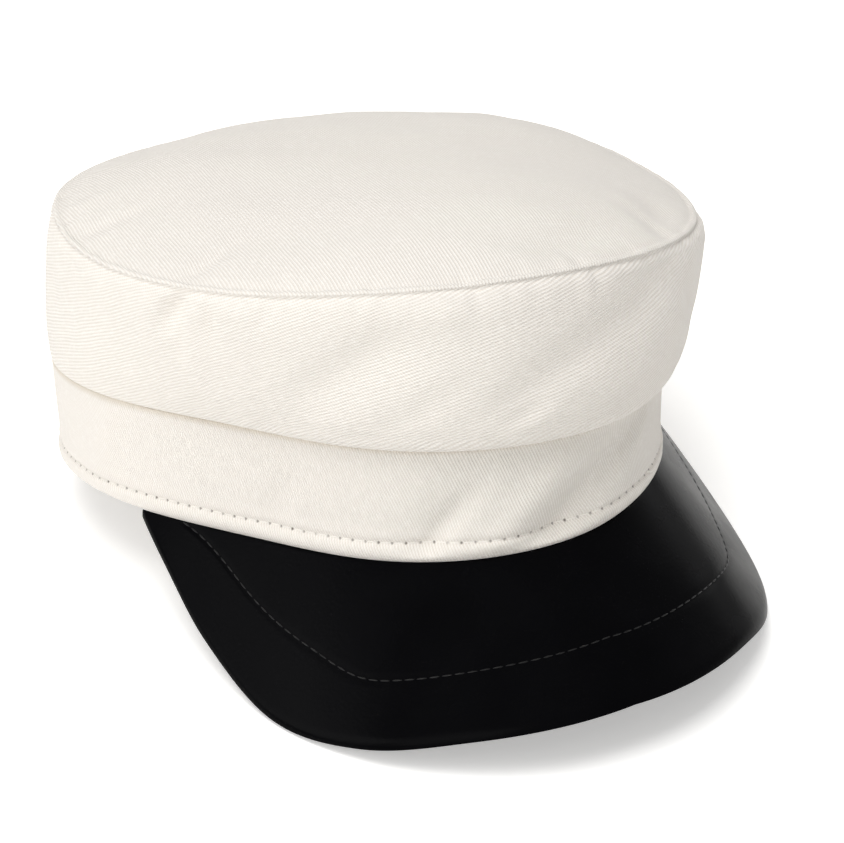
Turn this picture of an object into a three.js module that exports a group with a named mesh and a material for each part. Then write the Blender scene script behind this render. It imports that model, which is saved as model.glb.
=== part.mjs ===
// Sailor cap: a soft cotton crown on a turned-up band, with a leather peak.
// Millimetres, +Z up. The peak points along -Y. The cap rests on the two corners
// of its peak and on the back of its band, as it does on a table.
import * as THREE from 'three';
import { ConvexHull } from 'three/addons/math/ConvexHull.js';
import { mergeVertices } from 'three/addons/utils/BufferGeometryUtils.js';

// Band, measured round its lower edge
const bandWidth = 184;
const bandLength = 187.4;
const bandHeight = 31.5;
const bandWall = 2.6;
const bandFlare = 1.2; // how far the band leans out at its top
const hemHeight = 4.8;
const hemSwell = 0.9;
const hemGive = 0.5; // how far the soft hem flattens where it rests
const edgeLift = 5.6; // how far the soft lower edge wanders up and down

// Crown: a side panel that bulges over the band, and an oval top
const crownWidth = 184;
const crownLength = 206;
const crownSetback = 3.6; // middle of the crown behind the middle of the band
const crownFrontHeight = 77.5; // seam above the band's lower edge
const crownSideHeight = 71.5;
const crownBackHeight = 77;
const crownWall = 1.6;
const crownBulge = 4.2;
const frontLip = 3.3; // how far the side panel hangs forward over the band
const domeRise = 12.5; // top of the crown above its seam
const foldDepth = 4;

// Peak: flat leather bent round a cone, and a thinner lining under it
const peakReach = 56;
const peakSpan = 88; // degrees each way from the front
const peakHubHeight = 148.7; // point where the cone's straight lines meet
const peakHubSetback = 62.9;
const peakWall = 2.2;
const peakNose = 1.4; // length of the rounded front edge
const peakTip = 0.985; // the tips are cut at this share of the span
const liningWall = 1.0;
const liningInset = 0.7;

const clearance = 0.3; // between one piece and the next
const bandSteps = 80;
const peakSteps = 38;

// Plan of the band's lower edge: waves added to a circle, as shares of its radius
const planWaves = [
  { cycles: 1, out: -0.051 },
  { cycles: 2, out: 0.031 },
  { cycles: 3, out: 0.095 },
];
const crownPlanShare = 0.3; // the crown's seam is a rounder oval than the band

// Round the cap from back to back: height of the lower edge as a share of edgeLift, height of
// the crown's seam between crownSideHeight and the front's or back's, share of crownBulge
const roundRows = [
  { turn: -180, lift: 0.35, front: 0, back: 1, bulge: 0.7 },
  { turn: -150, lift: 0.35, front: 0, back: 1, bulge: 0.6 },
  { turn: -120, lift: 0.33, front: 0, back: 0.9, bulge: 0.5 },
  { turn: -90, lift: -0.19, front: 0, back: 0, bulge: 0.7 },
  { turn: -60, lift: -0.56, front: 0, back: 0, bulge: 0.9 },
  { turn: -30, lift: -0.69, front: 0.62, back: 0, bulge: 1 },
  { turn: 0, lift: -0.13, front: 1, back: 0, bulge: 1 },
  { turn: 30, lift: 0.88, front: 0.62, back: 0, bulge: 1 },
  { turn: 60, lift: 1, front: 0, back: 0, bulge: 1 },
  { turn: 90, lift: -0.05, front: 0, back: 0, bulge: 0.9 },
  { turn: 120, lift: 0.1, front: 0, back: 0.9, bulge: 0.7 },
  { turn: 150, lift: 0.3, front: 0, back: 1, bulge: 0.7 },
  { turn: 180, lift: 0.35, front: 0, back: 1, bulge: 0.7 },
];

// Rolled hem from the bottom up: shares of hemHeight and hemSwell
const hemRows = [
  { up: 0, out: -0.6 },
  { up: 0.16, out: 0.5 },
  { up: 0.45, out: 1 },
  { up: 0.8, out: 0.7 },
  { up: 1, out: 0 },
];

// Crown side from the band to the seam: shares of crownBulge and frontLip
const sideRows = [
  { level: 0, bulge: 0, lip: 0 },
  { level: 0.03, bulge: 0.22, lip: 0.8 },
  { level: 0.08, bulge: 0.48, lip: 1 },
  { level: 0.16, bulge: 0.74, lip: 0.95 },
  { level: 0.28, bulge: 0.93, lip: 0.8 },
  { level: 0.44, bulge: 1, lip: 0.6 },
  { level: 0.62, bulge: 0.96, lip: 0.4 },
  { level: 0.78, bulge: 0.86, lip: 0.2 },
  { level: 0.9, bulge: 0.66, lip: 0.05 },
  { level: 1, bulge: 0, lip: 0 },
];

// Crown top from the seam inwards: share of the way to the middle, share of domeRise
const topRows = [
  { inward: 0, rise: 0 },
  { inward: 0.04, rise: 0.15 },
  { inward: 0.11, rise: 0.38 },
  { inward: 0.22, rise: 0.63 },
  { inward: 0.38, rise: 0.84 },
  { inward: 0.6, rise: 0.96 },
  { inward: 0.85, rise: 1 },
  { inward: 1, rise: 1 },
];

// Length of the peak by share of its span, as shares of peakReach
const peakRows = [
  { at: 0, reach: 0.91 },
  { at: 0.25, reach: 0.95 },
  { at: 0.45, reach: 1 },
  { at: 0.62, reach: 0.92 },
  { at: 0.78, reach: 0.588 },
  { at: 0.9, reach: 0.255 },
  { at: 1, reach: 0 },
];

// Soft folds and dents on each panel: middle by turn in degrees and level as a share of the
// panel's height, half length and half width as shares of that height, tilt in degrees,
// depth as a share of foldDepth with minus for a dent
const sideFolds = [
  { turn: -68, level: 0.76, long: 0.28, short: 0.1, tilt: 75, depth: -0.35 },
  { turn: -75, level: 0.72, long: 0.26, short: 0.12, tilt: 80, depth: 0.2 },
  { turn: -20, level: 0.84, long: 0.4, short: 0.13, tilt: 5, depth: 0.25 },
  { turn: -32, level: 0.56, long: 0.75, short: 0.2, tilt: 35, depth: -0.28 },
  { turn: 12, level: 0.68, long: 1, short: 0.17, tilt: 25, depth: -0.35 },
  { turn: 16, level: 0.42, long: 0.8, short: 0.2, tilt: 30, depth: 0.2 },
  { turn: -8, level: 0.3, long: 0.3, short: 0.1, tilt: 20, depth: -0.2 },
  { turn: -108, level: 0.5, long: 0.6, short: 0.22, tilt: 60, depth: -0.2 },
  { turn: 85, level: 0.55, long: 0.8, short: 0.22, tilt: -40, depth: -0.3 },
  { turn: 130, level: 0.5, long: 0.9, short: 0.2, tilt: -30, depth: -0.35 },
  { turn: 178, level: 0.55, long: 0.8, short: 0.2, tilt: 20, depth: -0.3 },
  { turn: -145, level: 0.45, long: 0.9, short: 0.22, tilt: 35, depth: -0.3 },
];
const topFolds = [
  { turn: 40, level: 0.1, long: 0.2, short: 0.07, tilt: 15, depth: -0.6 },
  { turn: 3, level: 0.14, long: 0.25, short: 0.08, tilt: 0, depth: -0.3 },
  { turn: -65, level: 0.25, long: 0.35, short: 0.1, tilt: 20, depth: -0.2 },
  { turn: 140, level: 0.2, long: 0.35, short: 0.1, tilt: -15, depth: -0.3 },
  { turn: -150, level: 0.18, long: 0.3, short: 0.1, tilt: 10, depth: -0.3 },
];
const bandFolds = [
  { turn: -21, level: 0.42, long: 0.6, short: 0.18, tilt: 50, depth: -0.22 },
  { turn: 4, level: 0.42, long: 0.8, short: 0.2, tilt: 45, depth: -0.25 },
  { turn: 13, level: 0.5, long: 0.7, short: 0.2, tilt: 45, depth: 0.12 },
  { turn: 110, level: 0.5, long: 0.8, short: 0.2, tilt: -50, depth: -0.2 },
  { turn: -140, level: 0.5, long: 0.8, short: 0.2, tilt: 50, depth: -0.2 },
];
const foldFade = 0.12; // share of a panel beside a seam where folds die out

const fullTurn = 2 * Math.PI;
const peakHub = new THREE.Vector3(0, peakHubSetback, peakHubHeight);

function degrees(turn) {
  return THREE.MathUtils.euclideanModulo(THREE.MathUtils.radToDeg(turn) + 180, 360) - 180;
}

// Reads one column of a table at a place between its rows, along a smooth curve
function read(rows, key, column, at) {
  const last = rows.length - 1;
  const place = THREE.MathUtils.clamp(at, rows[0][key], rows[last][key]);
  let i = 0;
  while (i < last - 1 && place > rows[i + 1][key]) i += 1;
  const slope = (k) => {
    const before = rows[Math.max(k - 1, 0)];
    const after = rows[Math.min(k + 1, last)];
    return (after[column] - before[column]) / (after[key] - before[key]);
  };
  const [low, high] = [rows[i], rows[i + 1]];
  const span = high[key] - low[key];
  const s = (place - low[key]) / span;
  const blend = s * s * (3 - 2 * s);
  return low[column] * (1 - blend) + high[column] * blend
    + span * (slope(i) * s * (1 - s) ** 2 - slope(i + 1) * s * s * (1 - s));
}

// Depth of the folds at a place on a panel, which fade out towards its seams
function foldsAt(folds, turn, level, height, fromSeam) {
  const fade = THREE.MathUtils.smoothstep(fromSeam, 0, foldFade);
  let push = 0;
  for (const fold of folds) {
    const right = degrees(turn - THREE.MathUtils.degToRad(fold.turn));
    const x = (THREE.MathUtils.degToRad(right) * bandWidth) / 2;
    const y = (level - fold.level) * height;
    const tilt = THREE.MathUtils.degToRad(fold.tilt);
    const along = (x * Math.cos(tilt) + y * Math.sin(tilt)) / (fold.long * height);
    const across = (y * Math.cos(tilt) - x * Math.sin(tilt)) / (fold.short * height);
    push += fold.depth * Math.exp(-along * along - across * across);
  }
  return push * foldDepth * fade;
}

// Unit oval seen from above, turned from the front (-Y) towards +X
function planOval(turn, share) {
  let radius = 1;
  for (const wave of planWaves) radius += share * wave.out * Math.cos(wave.cycles * turn);
  return new THREE.Vector2(radius * Math.sin(turn), -radius * Math.cos(turn));
}

// The same oval with its box stretched to a width and a length, its middle on the origin
function sizedOval(share, width, length) {
  const box = new THREE.Box2();
  for (let i = 0; i < 360; i += 1) box.expandByPoint(planOval((i / 360) * fullTurn, share));
  const size = box.getSize(new THREE.Vector2());
  const middle = box.getCenter(new THREE.Vector2());
  return (turn) => {
    const p = planOval(turn, share).sub(middle);
    return new THREE.Vector3((p.x * width) / size.x, (p.y * length) / size.y, 0);
  };
}

const bandPlan = sizedOval(1, bandWidth, bandLength);
const crownPlan = sizedOval(crownPlanShare, crownWidth, crownLength);

function outward(plan, turn) {
  const step = 0.01;
  const along = plan(turn + step).sub(plan(turn - step));
  return new THREE.Vector3(along.y, -along.x, 0).normalize();
}

function edgeHeight(turn) {
  return edgeLift * read(roundRows, 'turn', 'lift', degrees(turn));
}

function seamHeight(turn) {
  const front = read(roundRows, 'turn', 'front', degrees(turn));
  const back = read(roundRows, 'turn', 'back', degrees(turn));
  return crownSideHeight * (1 - front - back) + crownFrontHeight * front + crownBackHeight * back;
}

// Outer face of the band: up in mm from its lower edge, out in mm
function bandFace(turn, up, out) {
  const share = up / bandHeight;
  const fold = foldsAt(bandFolds, turn, share, bandHeight, Math.min(share, 1 - share));
  const p = bandPlan(turn).addScaledVector(outward(bandPlan, turn), out + bandFlare * share + fold);
  p.z = up + edgeHeight(turn) * (1 - share / 2);
  return p;
}

function crownSideFace(turn, level) {
  const foot = bandFace(turn, bandHeight, 0);
  const seam = crownTopFace(turn, 0);
  const forward = Math.max(Math.cos(turn), 0) ** 1.5;
  const bulge = crownBulge * read(roundRows, 'turn', 'bulge', degrees(turn));
  const out = bulge * read(sideRows, 'level', 'bulge', level)
    + frontLip * forward * read(sideRows, 'level', 'lip', level)
    + foldsAt(sideFolds, turn, level, crownSideHeight - bandHeight, Math.min(level, 1 - level));
  return foot.lerp(seam, level).addScaledVector(outward(crownPlan, turn), out);
}

function crownTopFace(turn, inward) {
  const p = crownPlan(turn).multiplyScalar(1 - inward);
  p.y += crownSetback;
  const middleHeight = (crownFrontHeight + crownBackHeight) / 2;
  const settle = inward * inward * (3 - 2 * inward);
  p.z = seamHeight(turn) * (1 - settle) + middleHeight * settle
    + domeRise * read(topRows, 'inward', 'rise', inward)
    + foldsAt(topFolds, turn, inward, crownWidth / 2, inward) * (1 - settle);
  return p;
}

// Upper face of the peak: along in mm from the band's lower edge
function peakFace(turn, along) {
  const root = bandPlan(turn).addScaledVector(outward(bandPlan, turn), hemRows[0].out * hemSwell);
  root.z = edgeHeight(turn) - clearance;
  const down = root.clone().sub(peakHub).normalize();
  return root.addScaledVector(down, along);
}

function peakLength(turn) {
  const at = Math.abs(degrees(turn)) / peakSpan;
  return peakReach * read(peakRows, 'at', 'reach', at);
}

// Direction square to a face, found from two short steps on it
function squareTo(face, turn, across, step) {
  const small = 0.01;
  const u = face(turn + small, across).sub(face(turn - small, across));
  const v = face(turn, across + step).sub(face(turn, across - step));
  return u.cross(v).normalize();
}

const sideSquare = (turn, level) => squareTo(crownSideFace, turn, THREE.MathUtils.clamp(level, 0.02, 0.96), 0.02);
const topSquare = (turn, inward) => squareTo(crownTopFace, turn, Math.max(inward, 0.03), 0.02);
const peakSquare = (turn, along) => squareTo(peakFace, turn, along, 0.3).negate();

// The side and the top meet at the seam on one slanting plane between their two walls
function seamCorner(turn) {
  const side = sideSquare(turn, 1);
  const top = topSquare(turn, 0);
  const inner = side.clone().add(top).multiplyScalar(-crownWall / (1 + side.dot(top)));
  const apart = top.clone().sub(side).normalize().multiplyScalar(clearance / 2);
  return { inner, apart };
}

// Joins equal loops into one closed skin: round to its own start, or shut at both ends
function skin(loops, goesRound) {
  const count = loops[0].length;
  const corners = loops.flat();
  const index = [];
  const joints = goesRound ? loops.length : loops.length - 1;
  for (let i = 0; i < joints; i += 1) {
    const next = (i + 1) % loops.length;
    for (let j = 0; j < count; j += 1) {
      const k = (j + 1) % count;
      index.push(i * count + j, next * count + j, next * count + k);
      index.push(i * count + j, next * count + k, i * count + k);
    }
  }
  if (!goesRound) {
    const last = (loops.length - 1) * count;
    for (let j = 0; j < Math.floor(count / 2); j += 1) {
      const [a, b, c, d] = [j, j + 1, count - 2 - j, count - 1 - j];
      if (b < c) index.push(a, b, c, last + a, last + c, last + b);
      index.push(a, c, d, last + a, last + d, last + c);
    }
  }
  return toGeometry(corners, index);
}

// Merges corners that coincide, such as those at the middle of the crown
function toGeometry(corners, index) {
  const raw = new THREE.BufferGeometry();
  raw.setAttribute('position', new THREE.Float32BufferAttribute(corners.flatMap((p) => p.toArray()), 3));
  raw.setIndex(index);
  const geometry = mergeVertices(raw, 1e-4);
  const merged = geometry.getIndex().array;
  const kept = [];
  for (let i = 0; i < merged.length; i += 3) {
    const [a, b, c] = [merged[i], merged[i + 1], merged[i + 2]];
    if (a !== b && b !== c && c !== a) kept.push(a, b, c);
  }
  geometry.setIndex(kept);
  geometry.computeVertexNormals();
  return geometry;
}

function turns(count, from, to) {
  return Array.from({ length: count }, (_, i) => from + ((to - from) * i) / count);
}

const roundTurns = turns(bandSteps, 0, fullTurn);

function headbandSection(turn) {
  const hem = hemRows.map((row) => bandFace(turn, row.up * hemHeight, row.out * hemSwell));
  const top = bandHeight - clearance;
  const wall = [0.33, 0.66, 1].map((share) => bandFace(turn, hemHeight + (top - hemHeight) * share, 0));
  const inner = [1, 0.5, 0.1].map((share) => bandFace(turn, top * share, -bandWall));
  return [...hem, ...wall, ...inner, bandFace(turn, 0, -bandWall * 0.8)];
}

function crownSideSection(turn) {
  const seam = seamCorner(turn);
  const edge = crownSideFace(turn, 1).sub(seam.apart);
  const inset = (level) => crownSideFace(turn, level).addScaledVector(sideSquare(turn, level), -crownWall);
  const outer = sideRows.slice(0, -1).map((row) => crownSideFace(turn, row.level));
  const inner = sideRows.slice(2, -1).map((row) => inset(row.level)).reverse();
  return [...outer, edge, edge.clone().add(seam.inner), ...inner, bandFace(turn, bandHeight, -crownWall)];
}

function crownTopSection(turn) {
  const seam = seamCorner(turn);
  const edge = crownTopFace(turn, 0).add(seam.apart);
  const inset = (inward) => crownTopFace(turn, inward).addScaledVector(topSquare(turn, inward), -crownWall);
  const outer = topRows.slice(1, -1).map((row) => crownTopFace(turn, row.inward));
  const inner = topRows.slice(2, -1).map((row) => inset(row.inward)).reverse();
  const middle = crownTopFace(0, 1);
  const below = middle.clone().setZ(middle.z - crownWall);
  return [edge, ...outer, middle, below, ...inner, edge.clone().add(seam.inner)];
}

// Section of one layer of the peak: its top lies deep below the peak's upper face
function peakSection(turn, deep, wall, inset) {
  const length = peakLength(turn) - inset;
  const nose = Math.min(peakNose, length / 2);
  const straight = [1, 0.8, 0.6, 0.4, 0.2, 0.07, 0].map((share) => share * (length - nose));
  const layer = (along, share) => peakFace(turn, along)
    .addScaledVector(peakSquare(turn, along), -deep - wall * share);
  const upper = straight.map((along) => layer(along, 0));
  const lower = straight.map((along) => layer(along, 1)).reverse();
  const front = [[0.7, 0.87], [1, 0.5], [0.7, 0.13]];
  return [...upper, ...lower, ...front.map(([along, share]) => layer(length - nose + nose * along, share))];
}

function peakLayer(deep, wall, inset) {
  const span = THREE.MathUtils.degToRad(peakSpan * peakTip);
  const sections = turns(peakSteps, -span, span).concat(span)
    .map((turn) => peakSection(turn, deep, wall, inset));
  return skin(sections, false);
}

const pieces = {
  crown_top: skin(roundTurns.map(crownTopSection), true),
  crown_side: skin(roundTurns.map(crownSideSection), true),
  headband: skin(roundTurns.map(headbandSection), true),
  peak_upper: peakLayer(0, peakWall, 0),
  peak_lining: peakLayer(peakWall + clearance, liningWall, liningInset),
};

const cloth = { color: 0xf2ede1, roughness: 0.92, metalness: 0 };
const finishes = {
  crown_top: cloth,
  crown_side: cloth,
  headband: cloth,
  peak_upper: { color: 0x0b0b0c, roughness: 0.38, metalness: 0 },
  peak_lining: { color: 0x2b2a2a, roughness: 0.6, metalness: 0 },
};

const cap = new THREE.Group();
for (const [name, geometry] of Object.entries(pieces)) {
  const mesh = new THREE.Mesh(geometry, new THREE.MeshStandardMaterial(finishes[name]));
  mesh.name = name;
  cap.add(mesh);
}

function cornersOf(geometry) {
  const position = geometry.getAttribute('position');
  return Array.from({ length: position.count }, (_, i) => new THREE.Vector3().fromBufferAttribute(position, i));
}

// Surface that the cap stands on: the face of its convex hull straight under its middle
function restingPlane() {
  const raised = new THREE.Vector3(0, 0, hemGive);
  const points = Object.entries(pieces).flatMap(([name, geometry]) => cornersOf(geometry)
    .map((p) => (name === 'headband' ? p.add(raised) : p)));
  const middle = points.reduce((sum, p) => sum.add(p), new THREE.Vector3()).divideScalar(points.length);
  const below = (face) => (face.constant - face.normal.x * middle.x - face.normal.y * middle.y) / face.normal.z;
  const under = new ConvexHull().setFromPoints(points).faces.filter((face) => face.normal.z < -0.1);
  const floor = under.reduce((best, face) => (below(face) > below(best) ? face : best));
  return new THREE.Plane(floor.normal.clone().negate(), floor.constant);
}

// Presses what lies below the surface flat onto it
function flatten(geometry, floor) {
  const position = geometry.getAttribute('position');
  cornersOf(geometry).forEach((p, i) => {
    const depth = Math.min(floor.distanceToPoint(p), 0);
    p.addScaledVector(floor.normal, -depth);
    position.setXYZ(i, p.x, p.y, p.z);
  });
  geometry.computeVertexNormals();
}

const floor = restingPlane();
flatten(pieces.headband, floor);
cap.quaternion.setFromUnitVectors(floor.normal, new THREE.Vector3(0, 0, 1));
cap.updateMatrixWorld(true);
const box = new THREE.Box3().setFromObject(cap, true);
const middle = box.getCenter(new THREE.Vector3());
cap.position.set(-middle.x, -middle.y, -box.min.z);

export default cap;
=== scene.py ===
# Sailor cap: cotton twill crown and band, black leather peak, in the CAD part's frame.
import math
import bmesh
import bpy
from mathutils import Matrix, Vector, noise


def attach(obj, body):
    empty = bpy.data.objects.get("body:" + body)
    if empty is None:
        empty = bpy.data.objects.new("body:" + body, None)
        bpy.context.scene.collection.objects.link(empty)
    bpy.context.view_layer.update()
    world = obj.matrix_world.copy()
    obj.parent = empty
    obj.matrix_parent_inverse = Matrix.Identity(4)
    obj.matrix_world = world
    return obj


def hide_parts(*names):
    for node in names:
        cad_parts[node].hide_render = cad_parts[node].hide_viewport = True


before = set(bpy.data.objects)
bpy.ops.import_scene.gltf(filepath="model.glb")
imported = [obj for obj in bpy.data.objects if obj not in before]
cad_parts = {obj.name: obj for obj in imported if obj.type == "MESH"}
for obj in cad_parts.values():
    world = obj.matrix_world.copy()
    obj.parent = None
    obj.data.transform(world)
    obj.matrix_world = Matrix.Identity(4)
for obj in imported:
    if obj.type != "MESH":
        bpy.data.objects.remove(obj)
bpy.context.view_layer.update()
mm = 0.001
floorGap = 0.05

# The cap's own frame: lower edge of the band flat on z = 0, peak towards -Y, millimetres
rest = {
    "up": Vector((-0.06614, -0.24313, 0.96774)),  # square to the surface it rests on
    "offset": Vector((-3.02, 6.08, 22.16)),
}
restTurn = rest["up"].rotation_difference(Vector((0, 0, 1))).to_matrix().to_4x4()
capToWorld = Matrix.Translation(rest["offset"]) @ restTurn

cap = {
    "bandWidth": 184, "bandLength": 187.4, "bandHeight": 31.5, "bandWall": 2.6, "bandFlare": 1.2,
    "hemHeight": 4.8, "hemSwell": 0.9, "edgeLift": 5.6,
    "crownWidth": 184, "crownLength": 206, "crownSetback": 3.6, "crownWall": 1.6,
    "frontHeight": 77.5, "sideHeight": 71.5, "backHeight": 77, "bulge": 4.2, "lip": 3.3,
    "domeRise": 12.5, "foldDepth": 4, "clearance": 0.3,
    "peakReach": 56, "peakSpan": 88, "peakTip": 0.985, "peakHub": Vector((0, 62.9, 148.7)),
    "peakWall": 2.2, "liningWall": 1.0, "liningInset": 0.7,
}

# Waves that make the band's plan an egg: cycles, share of the radius
planWaves = [(1, -0.051), (2, 0.031), (3, 0.095)]
crownPlanShare = 0.3

# turn, lift of the lower edge, share of front height, of back height, share of bulge
roundRows = [
    (-180, 0.35, 0, 1, 0.7), (-150, 0.35, 0, 1, 0.6), (-120, 0.33, 0, 0.9, 0.5), (-90, -0.19, 0, 0, 0.7),
    (-60, -0.56, 0, 0, 0.9), (-30, -0.69, 0.62, 0, 1), (0, -0.13, 1, 0, 1), (30, 0.88, 0.62, 0, 1),
    (60, 1, 0, 0, 1), (90, -0.05, 0, 0, 0.9), (120, 0.1, 0, 0.9, 0.7), (150, 0.3, 0, 1, 0.7),
    (180, 0.35, 0, 1, 0.7),
]
# up, out of the rolled hem
hemRows = [(0, -0.6), (0.16, 0.5), (0.45, 1), (0.8, 0.7), (1, 0)]
# level, bulge, lip of the crown's side
sideRows = [
    (0, 0, 0), (0.03, 0.22, 0.8), (0.08, 0.48, 1), (0.16, 0.74, 0.95), (0.28, 0.93, 0.8), (0.44, 1, 0.6),
    (0.62, 0.96, 0.4), (0.78, 0.86, 0.2), (0.9, 0.66, 0.05), (1, 0, 0),
]
# inward, rise of the crown's top
topRows = [(0, 0), (0.04, 0.15), (0.11, 0.38), (0.22, 0.63), (0.38, 0.84), (0.6, 0.96), (0.85, 1), (1, 1)]
# share of the span, share of the reach of the peak
peakRows = [(0, 0.91), (0.25, 0.95), (0.45, 1), (0.62, 0.92), (0.78, 0.588), (0.9, 0.255), (1, 0)]

# Folds: turn, level, half length, half width, tilt, depth
sideFolds = [
    (-68, 0.76, 0.28, 0.1, 75, -0.35), (-75, 0.72, 0.26, 0.12, 80, 0.2), (-20, 0.84, 0.4, 0.13, 5, 0.25),
    (-32, 0.56, 0.75, 0.2, 35, -0.28), (12, 0.68, 1, 0.17, 25, -0.35), (16, 0.42, 0.8, 0.2, 30, 0.2),
    (-8, 0.3, 0.3, 0.1, 20, -0.2), (-108, 0.5, 0.6, 0.22, 60, -0.2), (85, 0.55, 0.8, 0.22, -40, -0.3),
    (130, 0.5, 0.9, 0.2, -30, -0.35), (178, 0.55, 0.8, 0.2, 20, -0.3), (-145, 0.45, 0.9, 0.22, 35, -0.3),
]
topFolds = [
    (40, 0.1, 0.2, 0.07, 15, -0.6), (3, 0.14, 0.25, 0.08, 0, -0.3), (-65, 0.25, 0.35, 0.1, 20, -0.2),
    (140, 0.2, 0.35, 0.1, -15, -0.3), (-150, 0.18, 0.3, 0.1, 10, -0.3),
]
bandFolds = [
    (-21, 0.42, 0.6, 0.18, 50, -0.22), (4, 0.42, 0.8, 0.2, 45, -0.25), (13, 0.5, 0.7, 0.2, 45, 0.12),
    (110, 0.5, 0.8, 0.2, -50, -0.2), (-140, 0.5, 0.8, 0.2, 50, -0.2),
]


def read(rows, column, at):
    last = len(rows) - 1
    at = min(max(at, rows[0][0]), rows[last][0])
    i = 0
    while i < last - 1 and at > rows[i + 1][0]:
        i += 1

    def slope(k):
        low, high = rows[max(k - 1, 0)], rows[min(k + 1, last)]
        return (high[column] - low[column]) / (high[0] - low[0])

    low, high = rows[i], rows[i + 1]
    span = high[0] - low[0]
    s = (at - low[0]) / span
    blend = s * s * (3 - 2 * s)
    bend = slope(i) * s * (1 - s) ** 2 - slope(i + 1) * s * s * (1 - s)
    return low[column] * (1 - blend) + high[column] * blend + span * bend


def smooth(value, low, high):
    s = min(max((value - low) / (high - low), 0), 1)
    return s * s * (3 - 2 * s)


def wrapTurn(turn):
    return (math.degrees(turn) + 180) % 360 - 180


def planOval(turn, share):
    radius = 1 + sum(share * out * math.cos(cycles * turn) for cycles, out in planWaves)
    return Vector((radius * math.sin(turn), -radius * math.cos(turn), 0))


def sizedOval(share, width, length):
    ring = [planOval(math.radians(i), share) for i in range(360)]
    low = Vector((min(p.x for p in ring), min(p.y for p in ring), 0))
    high = Vector((max(p.x for p in ring), max(p.y for p in ring), 0))
    middle, size = (low + high) / 2, high - low
    kept = {}

    def plan(turn):
        key = round(turn, 7)
        if key not in kept:
            p = planOval(turn, share) - middle
            kept[key] = Vector((p.x * width / size.x, p.y * length / size.y, 0))
        return kept[key].copy()

    return plan


bandPlan = sizedOval(1, cap["bandWidth"], cap["bandLength"])
crownPlan = sizedOval(crownPlanShare, cap["crownWidth"], cap["crownLength"])


def outward(plan, turn):
    along = plan(turn + 0.01) - plan(turn - 0.01)
    return Vector((along.y, -along.x, 0)).normalized()


def foldsAt(folds, turn, level, height, fromSeam):
    push = 0
    for at, up, long, short, tilt, depth in folds:
        x = math.radians(wrapTurn(turn - math.radians(at))) * cap["bandWidth"] / 2
        y = (level - up) * height
        c, s = math.cos(math.radians(tilt)), math.sin(math.radians(tilt))
        along = (x * c + y * s) / (long * height)
        across = (y * c - x * s) / (short * height)
        push += depth * math.exp(-along * along - across * across)
    return push * cap["foldDepth"] * smooth(fromSeam, 0, 0.12)


def edgeHeight(turn):
    return cap["edgeLift"] * read(roundRows, 1, wrapTurn(turn))


def seamHeight(turn):
    front, back = read(roundRows, 2, wrapTurn(turn)), read(roundRows, 3, wrapTurn(turn))
    return cap["sideHeight"] * (1 - front - back) + cap["frontHeight"] * front + cap["backHeight"] * back


def bandFace(turn, up, out):
    share = up / cap["bandHeight"]
    fold = foldsAt(bandFolds, turn, share, cap["bandHeight"], min(share, 1 - share))
    p = bandPlan(turn) + outward(bandPlan, turn) * (out + cap["bandFlare"] * share + fold)
    p.z = up + edgeHeight(turn) * (1 - share / 2)
    return p


def crownTopFace(turn, inward):
    p = crownPlan(turn) * (1 - inward)
    p.y += cap["crownSetback"]
    middleHeight = (cap["frontHeight"] + cap["backHeight"]) / 2
    settle = smooth(inward, 0, 1)
    folds = foldsAt(topFolds, turn, inward, cap["crownWidth"] / 2, inward) * (1 - settle)
    edge = seamHeight(turn) * (1 - settle) + middleHeight * settle
    p.z = edge + cap["domeRise"] * read(topRows, 1, inward) + folds
    return p


def crownSideFace(turn, level):
    foot, seam = bandFace(turn, cap["bandHeight"], 0), crownTopFace(turn, 0)
    forward = max(math.cos(turn), 0) ** 1.5
    out = cap["bulge"] * read(roundRows, 4, wrapTurn(turn)) * read(sideRows, 1, level)
    out += cap["lip"] * forward * read(sideRows, 2, level)
    out += foldsAt(sideFolds, turn, level, cap["sideHeight"] - cap["bandHeight"], min(level, 1 - level))
    return foot.lerp(seam, level) + outward(crownPlan, turn) * out


def peakFace(turn, along):
    root = bandPlan(turn) + outward(bandPlan, turn) * (hemRows[0][1] * cap["hemSwell"])
    root.z = edgeHeight(turn) - cap["clearance"]
    return root + (root - cap["peakHub"]).normalized() * along


def peakLength(turn):
    return cap["peakReach"] * read(peakRows, 1, abs(wrapTurn(turn)) / cap["peakSpan"])


def squareTo(face, turn, across, step):
    u = face(turn + 0.01, across) - face(turn - 0.01, across)
    v = face(turn, across + step) - face(turn, across - step)
    return u.cross(v).normalized()


def arcTable(plan):
    turns = [math.radians(i / 2) for i in range(-360, 361)]
    arcs = [0]
    for a, b in zip(turns, turns[1:]):
        arcs.append(arcs[-1] + (plan(b) - plan(a)).length)
    middle = arcs[360]

    def arc(turn):
        place = min(max(math.degrees(turn) * 2 + 360, 0), 719.999)
        i = int(place)
        return arcs[i] + (arcs[i + 1] - arcs[i]) * (place - i) - middle

    return arc


bandArc = arcTable(bandPlan)
crownArc = arcTable(crownPlan)
# Stitches of the hem and peak, in millimetres; proud is how far a thread stands out of its groove
stitching = {
    "count": 149, "up": 4.8, "length": 2.9, "thick": 0.24, "sunk": 0.1, "proud": 0.12, "peakPitch": 3.5,
}
stitching["pitch"] = 2 * bandArc(math.pi) / stitching["count"]

# Photo's camera, in the cap's own frame
photo = {"azimuth": -0.495, "elevation": 0.317, "roll": -0.036, "distance": 975.8, "focalPixels": 3249,
         "target": Vector((8.13, 1.03, 6.73)), "width": 844}


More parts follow.
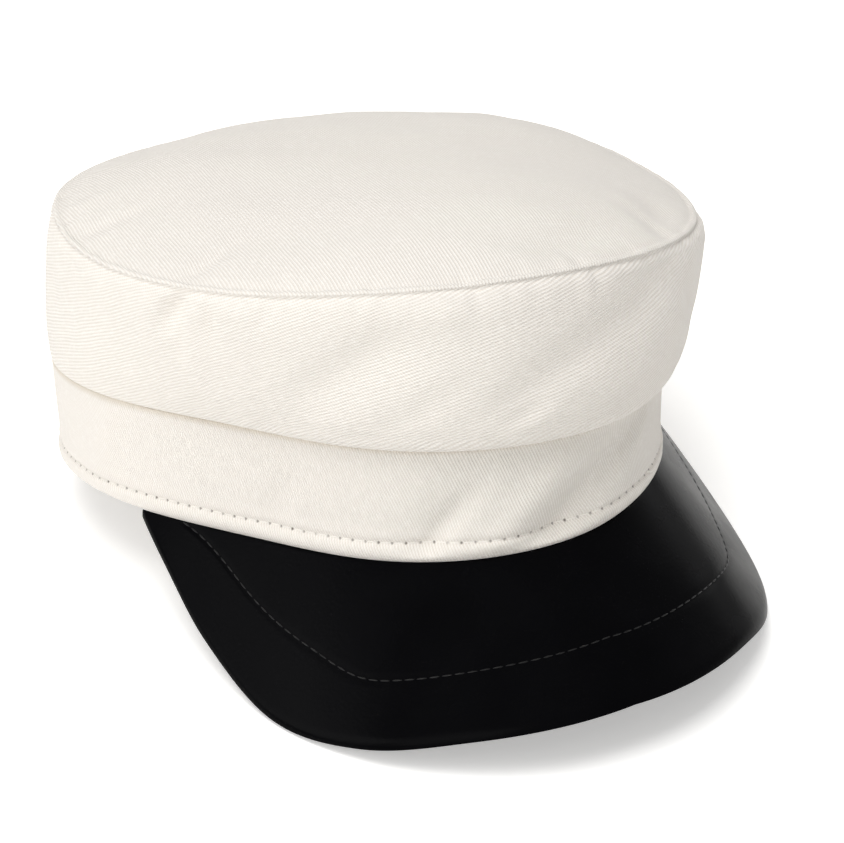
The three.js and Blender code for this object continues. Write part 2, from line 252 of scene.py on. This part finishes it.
def addCamera():
    az, el = photo["azimuth"], photo["elevation"]
    back = Vector((math.sin(az) * math.cos(el), -math.cos(az) * math.cos(el), math.sin(el)))
    right = Vector((math.cos(az), math.sin(az), 0))
    up = back.cross(right)
    c, s = math.cos(photo["roll"]), math.sin(photo["roll"])
    turned = Matrix((c * right + s * up, c * up - s * right, back)).transposed().to_4x4()
    eye = capToWorld @ (photo["target"] + back * photo["distance"])
    data = bpy.data.cameras.new("photoCamera")
    data.sensor_width = 36
    data.lens = photo["focalPixels"] * data.sensor_width / photo["width"]
    data.clip_start, data.clip_end = 0.01, 50
    camera = bpy.data.objects.new("photoCamera", data)
    camera.matrix_world = Matrix.Translation(eye * mm) @ capToWorld.to_3x3().to_4x4() @ turned
    bpy.context.collection.objects.link(camera)
    bpy.context.scene.camera = camera


addCamera()
print("camera placed")


# Node helper and colours
def linear(hexColour):
    out = []
    for i in (0, 2, 4):
        c = int(hexColour[i:i + 2], 16) / 255
        out.append(c / 12.92 if c <= 0.04045 else ((c + 0.055) / 1.055) ** 2.4)
    return (*out, 1)


def newMaterial(name):
    material = bpy.data.materials.new(name)
    material.use_nodes = True
    nodes = material.node_tree.nodes
    return material, nodes["Principled BSDF"]


def addNode(material, kind, settings=None, inputs=None):
    node = material.node_tree.nodes.new(kind)
    for key, value in (settings or {}).items():
        setattr(node, key, value)
    for key, value in (inputs or {}).items():
        if isinstance(value, bpy.types.NodeSocket):
            material.node_tree.links.new(value, node.inputs[key])
        else:
            node.inputs[key].default_value = value
    return node


def addMath(material, operation, *values):
    node = addNode(material, "ShaderNodeMath", {"operation": operation}, dict(enumerate(values)))
    return node.outputs[0]


def addNoise(material, vector, scale, detail):
    node = addNode(material, "ShaderNodeTexNoise", {}, {"Vector": vector, "Scale": scale, "Detail": detail})
    return node.outputs["Fac"]


def addRange(material, value, low, high, toLow=0.0, toHigh=1.0, kind="LINEAR"):
    node = addNode(material, "ShaderNodeMapRange", {"interpolation_type": kind},
                   {"Value": value, "From Min": low, "From Max": high, "To Min": toLow, "To Max": toHigh})
    return node.outputs["Result"]


def addMix(material, share, under, over):
    node = addNode(material, "ShaderNodeMix", {"data_type": "RGBA"}, {0: share, 6: under, 7: over})
    return node.outputs[2]


def linkSurface(material, shader, colour, height, strength, relief):
    # Colour, and fine relief whose depth is in millimetres
    bump = addNode(material, "ShaderNodeBump", {},
                   {"Height": height, "Strength": strength, "Distance": relief * mm})
    material.node_tree.links.new(colour, shader.inputs["Base Color"])
    material.node_tree.links.new(bump.outputs["Normal"], shader.inputs["Normal"])


# Ecru cotton drill: matt, warm white, with fine diagonal wales; lit and shade are painted light and painted
# shade, and the needle-hole and lip colours are painted shade
twillLook = {
    "lit": "F1EDE7", "shade": "DDD5CB", "slub": "F6F3EE", "holeShade": "5A5248", "lipShade": "CBBDA8",
    "waleRelief": 0.14, "sway": 1.2, "beadPitch": 0.8, "beadSlant": 0.6, "beadRelief": 0.35, "fuzz": 1.5,
    "roughness": 0.9, "specular": 0.2, "sheen": 0.2,
}


def makeTwill(name, waleAngle, walePitch, holes=None, lipShadeRows=None):
    # Cloth map is in millimetres, so one wale is walePitch wide
    material, shader = newMaterial(name)
    cloth = addNode(material, "ShaderNodeUVMap", {"uv_map": "cloth"}).outputs["UV"]
    turned = addNode(material, "ShaderNodeMapping", {"vector_type": "POINT"},
                     {"Vector": cloth, "Rotation": (0, 0, -math.radians(waleAngle))}).outputs["Vector"]
    parts = addNode(material, "ShaderNodeSeparateXYZ", {}, {"Vector": turned})
    drift = addNoise(material, cloth, 0.06, 1.0)
    sway = addMath(material, "MULTIPLY_ADD", drift, twillLook["sway"], parts.outputs["Y"])
    phase = addMath(material, "MULTIPLY", sway, 2 * math.pi / walePitch)
    wave = addMath(material, "SINE", phase)
    # Floats of yarn break each wale into short slanted beads
    beadPitch = twillLook["beadPitch"] * walePitch
    beadPhase = addMath(material, "MULTIPLY", parts.outputs["X"], 2 * math.pi / beadPitch)
    slanted = addMath(material, "MULTIPLY_ADD", phase, twillLook["beadSlant"], beadPhase)
    bead = addMath(material, "SINE", slanted)
    weave = addMath(material, "MULTIPLY_ADD", bead, twillLook["beadRelief"], wave)
    fuzz = addNoise(material, cloth, 2.2, 3.0)
    height = addMath(material, "MULTIPLY_ADD", fuzz, twillLook["fuzz"], weave)
    # Valleys between wales are painted a little darker than their tops: painted shade in the valleys, painted
    # light on the tops
    tone = addRange(material, height, -0.9, 2.0)
    base = addMix(material, tone, linear(twillLook["shade"]), linear(twillLook["lit"]))
    slubs = addRange(material, addNoise(material, turned, 0.5, 4.0), 0.5, 0.8, 0.0, 0.35)
    colour = addMix(material, slubs, base, linear(twillLook["slub"]))
    flat = addNode(material, "ShaderNodeSeparateXYZ", {}, {"Vector": cloth})
    if lipShadeRows:
        # Painted shade: cloth deep in the fold under the crown's lip is painted a warm brown, standing in for
        # the shade there
        lipShade = addRange(material, flat.outputs["Y"], lipShadeRows[0], lipShadeRows[1], 0.0, 0.6, "SMOOTHSTEP")
        colour = addMix(material, lipShade, colour, linear(twillLook["lipShade"]))
    if holes:
        # Needle holes between the stitches of the hem, painted as dark dots: painted shade inside the holes
        offset = addMath(material, "ADD", flat.outputs["X"], holes["start"])
        across = addMath(material, "PINGPONG", offset, holes["pitch"] / 2)
        upward = addMath(material, "SUBTRACT", flat.outputs["Y"], holes["up"])
        spot = addNode(material, "ShaderNodeCombineXYZ", {}, {"X": across, "Y": upward})
        reach = addNode(material, "ShaderNodeVectorMath", {"operation": "LENGTH"}, {0: spot.outputs[0]})
        strength = addRange(material, addNoise(material, cloth, 0.23, 2.0), 0.35, 0.65, 0.25)
        dot = addRange(material, reach.outputs["Value"], holes["radius"], 0.15, 0.0, strength, "SMOOTHSTEP")
        colour = addMix(material, dot, colour, linear(twillLook["holeShade"]))
    linkSurface(material, shader, colour, height, 0.5, twillLook["waleRelief"])
    shader.inputs["Roughness"].default_value = twillLook["roughness"]
    shader.inputs["Specular IOR Level"].default_value = twillLook["specular"]
    shader.inputs["Sheen Weight"].default_value = twillLook["sheen"]
    shader.inputs["Sheen Roughness"].default_value = 0.5
    return material


# Corrected-grain cowhide, dyed black and waxed: smooth, semi-gloss, faint pores
leatherLook = {
    "dye": "040405", "rub": "08080A", "roughness": 0.26, "specular": 0.036, "poreSize": 0.9,
    "poreRelief": 0.04,
    "liningDye": "1A1A1B", "liningRoughness": 0.5, "liningRelief": 0.08,
}


def makeLeather(name, dye, roughness, relief):
    material, shader = newMaterial(name)
    place = addNode(material, "ShaderNodeTexCoord").outputs["Object"]
    pores = addNode(material, "ShaderNodeTexVoronoi", {"feature": "SMOOTH_F1"},
                    {"Vector": place, "Scale": 1 / (leatherLook["poreSize"] * mm)})
    cloudy = addNoise(material, place, 45.0, 4.0)
    colour = addMix(material, cloudy, linear(dye), linear(leatherLook["rub"]))
    rough = addRange(material, cloudy, 0.3, 0.7, roughness - 0.05, roughness + 0.06)
    linkSurface(material, shader, colour, pores.outputs["Distance"], 0.5, relief)
    material.node_tree.links.new(rough, shader.inputs["Roughness"])
    shader.inputs["Specular IOR Level"].default_value = leatherLook["specular"]
    return material


# Cotton-wrapped sewing thread: twisted, slightly glossy
threadLook = {
    "cotton": "EDE8DF", "cottonGlint": "F6F3EE", "cottonRoughness": 0.7,
    "black": "050505", "blackGlint": "111113", "blackRoughness": 0.5, "twist": 0.25, "twistRelief": 0.08,
}


def makeThread(name, colourHex, glintHex, roughness):
    material, shader = newMaterial(name)
    place = addNode(material, "ShaderNodeTexCoord").outputs["Object"]
    twist = addNoise(material, place, 1 / (threadLook["twist"] * mm), 2.0)
    tone = addMix(material, twist, linear(colourHex), linear(glintHex))
    linkSurface(material, shader, tone, twist, 0.4, threadLook["twistRelief"])
    shader.inputs["Roughness"].default_value = roughness
    return material


# Wales lie at these angles to the cloth's length, in degrees, and this far apart
sideTwill = makeTwill("cottonTwillSide", 19, 0.93)
topTwill = makeTwill("cottonTwillTop", 82, 0.9)
hemHoles = {"start": bandArc(math.pi), "pitch": stitching["pitch"], "up": stitching["up"], "radius": 0.56}
# The band's top rows, from 29 to 31.4 mm up, get the painted shade under the crown's lip
bandTwill = makeTwill("cottonTwillBand", -67, 0.8, hemHoles, (29.0, 31.4))
leather = makeLeather("waxedLeather", leatherLook["dye"], leatherLook["roughness"], leatherLook["poreRelief"])
liningLeather = makeLeather("liningLeather", leatherLook["liningDye"], leatherLook["liningRoughness"],
                            leatherLook["liningRelief"])
cottonThread = makeThread("cottonThread", threadLook["cotton"], threadLook["cottonGlint"],
                          threadLook["cottonRoughness"])
blackThread = makeThread("blackThread", threadLook["black"], threadLook["blackGlint"],
                         threadLook["blackRoughness"])
print("materials made")


# Soft unevenness of cloth: broad waves and smaller ones, in millimetres
def clothDrift(p, amount):
    broad = noise.noise(Vector((p.x, p.y, p.z)) / 34)
    small = noise.noise(Vector((p.y, p.z, p.x)) / 13 + Vector((7, 3, 1)))
    return amount * (broad + 0.35 * small)


def seamPucker(arc, distance, amount):
    # Stitch tension draws short dents square to a seam
    ripple = noise.noise(Vector((arc / 6.5, 0.7, 0.2))) + 0.6 * noise.noise(Vector((arc / 3.1, 4.1, 0.9)))
    return amount * (ripple - 0.8 * max(ripple - 0.15, 0)) * math.exp(-(distance / 6) ** 2)


def climbTable(face, values):
    # Length along the cloth, row by row, so that the twill isn't stretched
    kept = {}

    def climb(turn, row):
        key = round(turn, 5)
        if key not in kept:
            spots = [face(turn, value) for value in values]
            run = [0]
            for a, b in zip(spots, spots[1:]):
                run.append(run[-1] + (b - a).length)
            kept[key] = run
        return kept[key][row] - kept[key][-1]

    return climb


def turnOf(p):
    return math.atan2(p.x, -p.y)


def finishPiece(bm, name, node, material, wall, bevelWidth=0):
    # Places the sheet in the CAD frame, then gives it its wall
    bmesh.ops.transform(bm, matrix=Matrix.Scale(mm, 4) @ capToWorld, verts=bm.verts)
    for vert in bm.verts:
        vert.co.z = max(vert.co.z, floorGap * mm)
    mesh = bpy.data.meshes.new(name)
    bm.to_mesh(mesh)
    bm.free()
    mesh.shade_smooth()
    mesh.materials.append(material)
    piece = bpy.data.objects.new(name, mesh)
    bpy.context.collection.objects.link(piece)
    if wall:
        solidify = piece.modifiers.new("wall", "SOLIDIFY")
        solidify.thickness = wall * mm
        solidify.offset = -1
        solidify.use_even_offset = True
    if bevelWidth:
        bevel = piece.modifiers.new("roundedEdge", "BEVEL")
        bevel.width = bevelWidth * mm
        bevel.segments = 3
        bevel.limit_method = "ANGLE"
        bevel.angle_limit = math.radians(50)
    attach(piece, "root")
    if node:
        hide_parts(node)
    return piece


def spinRows(count, steps, startRadius, endRadius):
    # A line of points spun once round the cap: ring number is kept in z
    bm = bmesh.new()
    line = []
    for i in range(count):
        radius = startRadius + (endRadius - startRadius) * i / (count - 1)
        line.append(bm.verts.new((0, -radius, i)))
    edges = [bm.edges.new(pair) for pair in zip(line, line[1:])]
    bmesh.ops.spin(bm, geom=line + edges, cent=(0, 0, 0), axis=(0, 0, 1), angle=2 * math.pi, steps=steps,
                   use_merge=True)
    bmesh.ops.remove_doubles(bm, verts=bm.verts, dist=1e-5)
    bmesh.ops.recalc_face_normals(bm, faces=bm.faces)
    return bm


def shapeRows(bm, values, place, mapOf):
    # Moves every point of the spun sheet to its place and stores its cloth map
    uv = bm.loops.layers.uv.new("cloth")
    for face in bm.faces:
        middle = turnOf(face.calc_center_median())
        for loop in face.loops:
            co = loop.vert.co
            row = round(co.z)
            turn = middle if abs(co.x) + abs(co.y) < 1e-6 else turnOf(co)
            if turn - middle > math.pi:
                turn -= 2 * math.pi
            if turn - middle < -math.pi:
                turn += 2 * math.pi
            loop[uv].uv = mapOf(turn, row)
    for vert in bm.verts:
        vert.co = place(turnOf(vert.co), values[round(vert.co.z)])
    bmesh.ops.recalc_face_normals(bm, faces=bm.faces)
    return bm


def pointOut(bm, centre):
    # The sheet's normals look away from the hollow
    total = sum((f.calc_center_median() - centre).dot(f.normal) for f in bm.faces)
    if total < 0:
        bmesh.ops.reverse_faces(bm, faces=bm.faces)


# Headband: turned-up twill with a rolled hem and a row of stitches
band = {
    "steps": 600, "drift": 0.3, "top": 31.45, "turnIn": 0.75, "sag": 0.26, "ridgeUp": 6.6, "ridge": 0.3,
    "groove": 0.34, "pucker": 0.22, "crease": 2.3,
}
# Rows of points up the band, close together over the hem
bandUps = [-2.6, -1.6, -0.6, 0.0] + [0.25 * i for i in range(1, 25)]
bandUps += [band["ridgeUp"] + 1.28 * i for i in range(19)]
bandUps += [30.5, 31.0, band["top"]]
# Creases: turn, level, half length, half width, tilt, depth
bandCreases = [
    (3, 0.33, 0.75, 0.13, 40, -0.26), (12, 0.52, 0.6, 0.1, 42, -0.16), (-20, 0.3, 0.45, 0.11, 48, -0.2),
    (-6, 0.42, 0.6, 0.14, 44, 0.14), (-52, 0.4, 0.4, 0.15, 60, -0.08), (-95, 0.5, 0.5, 0.2, 70, 0.1),
    (95, 0.4, 0.7, 0.14, -50, -0.2), (150, 0.5, 0.7, 0.15, 45, -0.18), (-150, 0.4, 0.6, 0.14, -45, -0.18),
]


def hemSag(turn, up):
    # The soft hem settles onto the peak
    over = 1 - smooth(abs(math.degrees(turn)), cap["peakSpan"] - 6, cap["peakSpan"])
    return band["sag"] * over * (math.exp(-(up / 0.6) ** 2) if up > 0 else 1)


def bandPlace(turn, up):
    if up < 0:  # under the hem, towards the inside
        p = bandFace(turn, 0.05, hemRows[0][1] * cap["hemSwell"] + band["turnIn"] * up)
        return p - Vector((0, 0, hemSag(turn, up)))
    share = up / cap["bandHeight"]
    inHem = up < cap["hemHeight"]
    out = cap["hemSwell"] * read(hemRows, 1, up / cap["hemHeight"]) if inHem else 0
    out += band["ridge"] * math.exp(-((up - band["ridgeUp"]) / 1.1) ** 2)
    distance = up - stitching["up"]
    out -= band["groove"] * math.exp(-(distance / 0.7) ** 2)
    out += seamPucker(bandArc(turn), abs(distance), band["pucker"]) * smooth(up, 0, 2)
    p = bandFace(turn, up, out) - Vector((0, 0, hemSag(turn, up)))
    creases = foldsAt(bandCreases, turn, share, cap["bandHeight"], min(share, 1 - share)) * band["crease"]
    drift = clothDrift(p, band["drift"]) * smooth(up, 0, 6) * smooth(cap["bandHeight"] - up, 0, 5)
    return p + outward(bandPlan, turn) * (drift + creases)


bm = spinRows(len(bandUps), band["steps"], 1, 1)
shapeRows(bm, bandUps, bandPlace, lambda turn, row: (bandArc(turn), bandUps[row]))
pointOut(bm, Vector((0, 0, 15)))
finishPiece(bm, "headbandCloth", "headband", bandTwill, cap["bandWall"] - 0.5)
print("headband made")


# Crown side: one strip of twill, bulging over the band
side = {
    "steps": 480, "drift": 0.5, "droop": 1.5, "groove": 0.6, "ridge": 0.25, "crease": 1.7, "pucker": 1.1,
}
# Levels of the rows of points, close together at the foot and at the top seam
sideLevels = [0, 0.004, 0.012, 0.022, 0.034, 0.05, 0.07, 0.09] + [0.12 + 0.03 * i for i in range(27)]
sideLevels += [0.925, 0.94, 0.952, 0.962, 0.971, 0.979, 0.986, 0.991, 0.996, 1.0]
sideCreases = [
    (-70, 0.87, 0.2, 0.075, 55, -0.4), (-66, 0.8, 0.16, 0.07, 70, 0.16), (-61.5, 0.84, 0.2, 0.05, 96, -0.2),
    (-50, 0.93, 0.1, 0.06, 75, -0.16), (-46, 0.94, 0.1, 0.05, 95, -0.1), (-8, 0.2, 0.14, 0.05, 22, -0.16),
    (-20, 0.9, 0.22, 0.09, 8, 0.16), (-36, 0.55, 0.5, 0.13, 32, -0.16), (8, 0.66, 0.75, 0.13, 22, -0.22),
    (0, 0.38, 0.55, 0.12, 28, 0.12), (30, 0.62, 0.5, 0.12, -35, -0.15), (-85, 0.45, 0.4, 0.14, 80, -0.1),
    (-100, 0.7, 0.3, 0.1, 80, -0.12), (-24, 0.27, 0.4, 0.1, 30, -0.1),
    (95, 0.7, 0.4, 0.1, 60, -0.18), (120, 0.4, 0.5, 0.12, -30, -0.2), (165, 0.7, 0.5, 0.12, 20, -0.2),
    (-130, 0.6, 0.5, 0.12, 35, -0.2), (-160, 0.35, 0.4, 0.1, -20, -0.18),
]


def sidePlace(turn, level):
    panel = cap["sideHeight"] - cap["bandHeight"]
    p = crownSideFace(turn, level)
    forward = max(math.cos(turn), 0) ** 1.5
    distance = (1 - level) * panel
    out = clothDrift(p, side["drift"]) * smooth(level, 0, 0.1) * smooth(distance, 0, 6)
    out += side["crease"] * foldsAt(sideCreases, turn, level, panel, min(level, (1 - level) * 2.5))
    out += seamPucker(crownArc(turn), distance, side["pucker"]) * smooth(distance, 0, 1.6)
    out += side["ridge"] * math.exp(-((distance - 2.6) / 1.0) ** 2)
    out -= side["groove"] * math.exp(-((distance - 0.7) / 0.65) ** 2)
    p += outward(crownPlan, turn) * out
    p.z -= side["droop"] * (0.12 + 0.88 * forward) * math.exp(-((level - 0.035) / 0.03) ** 2)
    return p


sideClimb = climbTable(crownSideFace, sideLevels)
bm = spinRows(len(sideLevels), side["steps"], 1, 1)
shapeRows(bm, sideLevels, sidePlace, lambda turn, row: (crownArc(turn), sideClimb(turn, row)))
pointOut(bm, Vector((0, 0, 50)))
finishPiece(bm, "crownSideCloth", "crown_side", sideTwill, cap["crownWall"])
print("crown side made")


# Crown top: an oval of twill, softly domed, its edge rolled over the seam
top = {
    "steps": 480, "drift": 0.6, "roll": 0.5, "groove": 0.3, "crease": 1.5, "pucker": 0.85,
    "puckerShift": 2.7,
}
topInwards = [0, 0.004, 0.008, 0.012, 0.017, 0.022, 0.028, 0.035, 0.044, 0.055, 0.07]
topInwards += [0.09 + 0.035 * i for i in range(26)] + [1.0]
topCreases = [
    (31, 0.1, 0.13, 0.05, 60, -0.22), (8, 0.12, 0.2, 0.06, 10, -0.18), (-8, 0.11, 0.14, 0.05, -20, 0.12),
    (-68, 0.09, 0.1, 0.035, 70, -0.18), (-100, 0.1, 0.12, 0.04, 80, -0.16), (-112, 0.09, 0.1, 0.04, 100, 0.1),
    (-40, 0.3, 0.3, 0.1, 20, -0.1), (120, 0.15, 0.2, 0.06, 40, -0.15), (170, 0.15, 0.2, 0.06, -20, -0.15),
]


def topPlace(turn, inward):
    p = crownTopFace(turn, inward)
    distance = inward * cap["crownWidth"] / 2
    up = clothDrift(p, top["drift"]) * smooth(distance, 0, 6)
    creases = foldsAt(topCreases, turn, inward, cap["crownWidth"] / 2, inward * 2)
    up += creases * (1 - smooth(inward, 0.4, 0.9)) * top["crease"]
    puckers = seamPucker(crownArc(turn) + top["puckerShift"], distance, top["pucker"])
    up += puckers * smooth(distance, 0, 1.6)
    up += top["roll"] * math.exp(-((distance - 0.75) / 0.7) ** 2)
    up -= top["groove"] * math.exp(-((distance - 2.4) / 0.9) ** 2)
    p.z += up
    return p


topClimb = climbTable(crownTopFace, topInwards)


def topMap(turn, row):
    return (crownPlan(turn).normalized() * -topClimb(turn, row)).to_2d()


bm = spinRows(len(topInwards), top["steps"], 1, 0)
shapeRows(bm, topInwards, topPlace, topMap)
pointOut(bm, Vector((0, 0, 40)))
finishPiece(bm, "crownTopCloth", "crown_top", topTwill, cap["crownWall"])
print("crown top made")


# Peak: leather over board, bent round a cone; along runs from the band to the edge
peak = {
    "across": 180, "along": 44, "edgeRoll": 0.85, "edgeRollWidth": 3.2, "groove": 0.14, "grooveWidth": 0.7,
    "roundEdge": 0.9, "liningRound": 0.3, "liningBack": 0.4, "slack": 0.1,
}
# turn, share of the length where the row of stitches runs
peakStitchRows = [(0, 0.6), (15, 0.615), (30, 0.64), (38, 0.63), (46, 0.53), (60, 0.36), (72, 0.12), (78, 0)]
stitchEnd = 77


def peakSquare(turn, along):
    return -squareTo(peakFace, turn, along, 0.3)


def peakSpot(turn, along, deep):
    return peakFace(turn, along) - peakSquare(turn, along) * deep


def peakSheet(deep, inset, roll, groove):
    bm = bmesh.new()
    bmesh.ops.create_grid(bm, x_segments=peak["across"], y_segments=peak["along"], size=1)
    uv = bm.loops.layers.uv.new("cloth")
    spots = {}
    for vert in bm.verts:
        turn = math.radians(vert.co.x * cap["peakSpan"] * cap["peakTip"])
        length = max(peakLength(turn) - inset, 0.3)
        share = (vert.co.y + 1) / 2
        along = length * share
        toEdge = length - along
        sink = roll * max(1 - toEdge / peak["edgeRollWidth"], 0) ** 2
        stitch = along - length * read(peakStitchRows, 1, abs(math.degrees(turn)))
        if abs(math.degrees(turn)) < stitchEnd:
            sink += groove * math.exp(-(stitch / peak["grooveWidth"]) ** 2)
        spots[vert.index] = (peakSpot(turn, along, deep + sink), (bandArc(turn), along))
    for face in bm.faces:
        for loop in face.loops:
            loop[uv].uv = spots[loop.vert.index][1]
    for vert in bm.verts:
        vert.co = spots[vert.index][0]
    bmesh.ops.recalc_face_normals(bm, faces=bm.faces)
    if sum(f.normal.z for f in bm.faces) < 0:
        bmesh.ops.reverse_faces(bm, faces=bm.faces)
    return bm


bm = peakSheet(0, 0, peak["edgeRoll"], peak["groove"])
wall = cap["peakWall"] - peak["slack"]
finishPiece(bm, "peakLeather", "peak_upper", leather, wall, peak["roundEdge"])
bm = peakSheet(cap["peakWall"] + peak["slack"], cap["liningInset"] + peak["liningBack"], 0, 0)
wall = cap["liningWall"] - peak["slack"]
finishPiece(bm, "peakLiningLeather", "peak_lining", liningLeather, wall,
            peak["liningRound"])
print("peak made")


# Stitches: short threads that dive into the cloth or leather at both ends
def evenTurns(place, first, last, pitch):
    # Turns that lie one pitch apart along a row
    found, walked, due, before = [], 0, pitch / 2, first
    for i in range(1, 1441):
        turn = first + (last - first) * i / 1440
        span = (place(turn) - place(before)).length
        while walked + span >= due:
            found.append(before + (turn - before) * (due - walked) / span)
            due += pitch
        walked += span
        before = turn
    return found


def addThread(bm, middle, turned, thick, half):
    size = Matrix.Diagonal((thick, thick, half, 1))
    made = bmesh.ops.create_uvsphere(bm, u_segments=8, v_segments=6, radius=1)
    bmesh.ops.transform(bm, matrix=Matrix.Translation(middle) @ turned @ size, verts=made["verts"])


def stitchRow(name, place, square, turnsOfRow, material):
    bm = bmesh.new()
    for turn in turnsOfRow:
        along = (place(turn + 0.002) - place(turn - 0.002)).normalized()
        sideways = square(turn).cross(along).normalized()
        turned = Matrix((along.cross(sideways), sideways, along)).transposed().to_4x4()
        addThread(bm, place(turn), turned, stitching["thick"], stitching["length"] / 2)
    bmesh.ops.recalc_face_normals(bm, faces=bm.faces)
    return finishPiece(bm, name, None, material, 0)


def hemStitchSpot(turn):
    out = stitching["proud"] - stitching["sunk"]
    return bandPlace(turn, stitching["up"]) + outward(bandPlan, turn) * out


def peakStitchSpot(turn):
    share = read(peakStitchRows, 1, abs(math.degrees(turn)))
    deep = peak["groove"] + stitching["sunk"] - stitching["proud"]
    return peakSpot(turn, max(share * peakLength(turn), 0.5), deep)


hemTurns = evenTurns(bandPlan, -math.pi, math.pi, stitching["pitch"])
peakEnd = math.radians(stitchEnd)
peakTurns = evenTurns(peakStitchSpot, -peakEnd, peakEnd, stitching["peakPitch"])
stitchRow("hemStitches", hemStitchSpot, lambda turn: outward(bandPlan, turn), hemTurns,
          cottonThread)
stitchRow("peakStitches", peakStitchSpot, lambda turn: peakSquare(turn, 20), peakTurns,
          blackThread)
# End of the hem's thread, left long on the right of the front
threadEnd = {
    "turn": 23.0, "thick": 0.2, "overlap": 0.62,
    "bends": [(0, 0, 0), (0.5, 0.2, 0.9), (1.1, -0.2, 1.5), (1.9, -0.9, 1.7)],
}


def makeThreadEnd():
    turn = math.radians(threadEnd["turn"])
    out = outward(bandPlan, turn)
    along = Vector((-out.y, out.x, 0))
    start = hemStitchSpot(turn)
    bm = bmesh.new()
    spots = [start + along * a + Vector((0, 0, b)) + out * c for a, b, c in threadEnd["bends"]]
    for a, b in zip(spots, spots[1:]):
        turned = (b - a).to_track_quat("Z", "Y").to_matrix().to_4x4()
        addThread(bm, a.lerp(b, 0.5), turned, threadEnd["thick"], (b - a).length * threadEnd["overlap"])
    bmesh.ops.recalc_face_normals(bm, faces=bm.faces)
    return finishPiece(bm, "hemThreadEnd", None, cottonThread, 0)


makeThreadEnd()
print("stitches made")


# Floor and studio lights; the floor glows a little, as paper lit from all round
studio = {"floorHalf": 4, "floorGlow": 0.38, "fill": 0.34}


def addFloor():
    bm = bmesh.new()
    bmesh.ops.create_grid(bm, x_segments=1, y_segments=1, size=studio["floorHalf"])
    mesh = bpy.data.meshes.new("floor")
    bm.to_mesh(mesh)
    bm.free()
    floor = bpy.data.objects.new("floor", mesh)
    material, shader = newMaterial("paperSweep")
    shader.inputs["Base Color"].default_value = linear("F8F7F5")
    shader.inputs["Roughness"].default_value = 0.9
    shader.inputs["Specular IOR Level"].default_value = 0.0
    shader.inputs["Emission Color"].default_value = linear("FFFFFF")
    shader.inputs["Emission Strength"].default_value = studio["floorGlow"]
    mesh.materials.append(material)
    bpy.context.collection.objects.link(floor)


def addLight(name, place, target, size, power, colour="FFFFFF"):
    data = bpy.data.lights.new(name, "AREA")
    data.shape = "RECTANGLE"
    data.size, data.size_y = size
    data.energy = power
    data.color = linear(colour)[:3]
    light = bpy.data.objects.new(name, data)
    light.location = place
    light.rotation_euler = (Vector(target) - Vector(place)).to_track_quat("-Z", "Y").to_euler()
    bpy.context.collection.objects.link(light)
    return light


addFloor()
# Soft light overhead and from the left, and a low light behind on the right for the sheen
addLight("keySoftbox", (-1.25, -0.86, 1.19), (0, 0, 0.05), (1.1, 1.1), 4.8, "FFFEFC")
topLight = addLight("topSoftbox", (-0.45, -0.15, 2.0), (0, 0, 0.05), (1.3, 1.3), 28)
topLight.visible_glossy = False  # the black leather shows no glare from above
addLight("sideSoftbox", (-1.71, 0.19, 0.85), (0, 0, 0.05), (1.0, 1.0), 6.4)
addLight("sheenSoftbox", (1.56, 0.82, 0.78), (0, 0, 0.05), (1.2, 0.9), 3.8)
world = bpy.data.worlds.new("studio")
world.use_nodes = True
world.node_tree.nodes["Background"].inputs["Color"].default_value = linear("F4F4F4")
world.node_tree.nodes["Background"].inputs["Strength"].default_value = studio["fill"]
bpy.context.scene.world = world
bpy.context.scene.view_settings.view_transform = "Standard"
print("floor and lights placed")
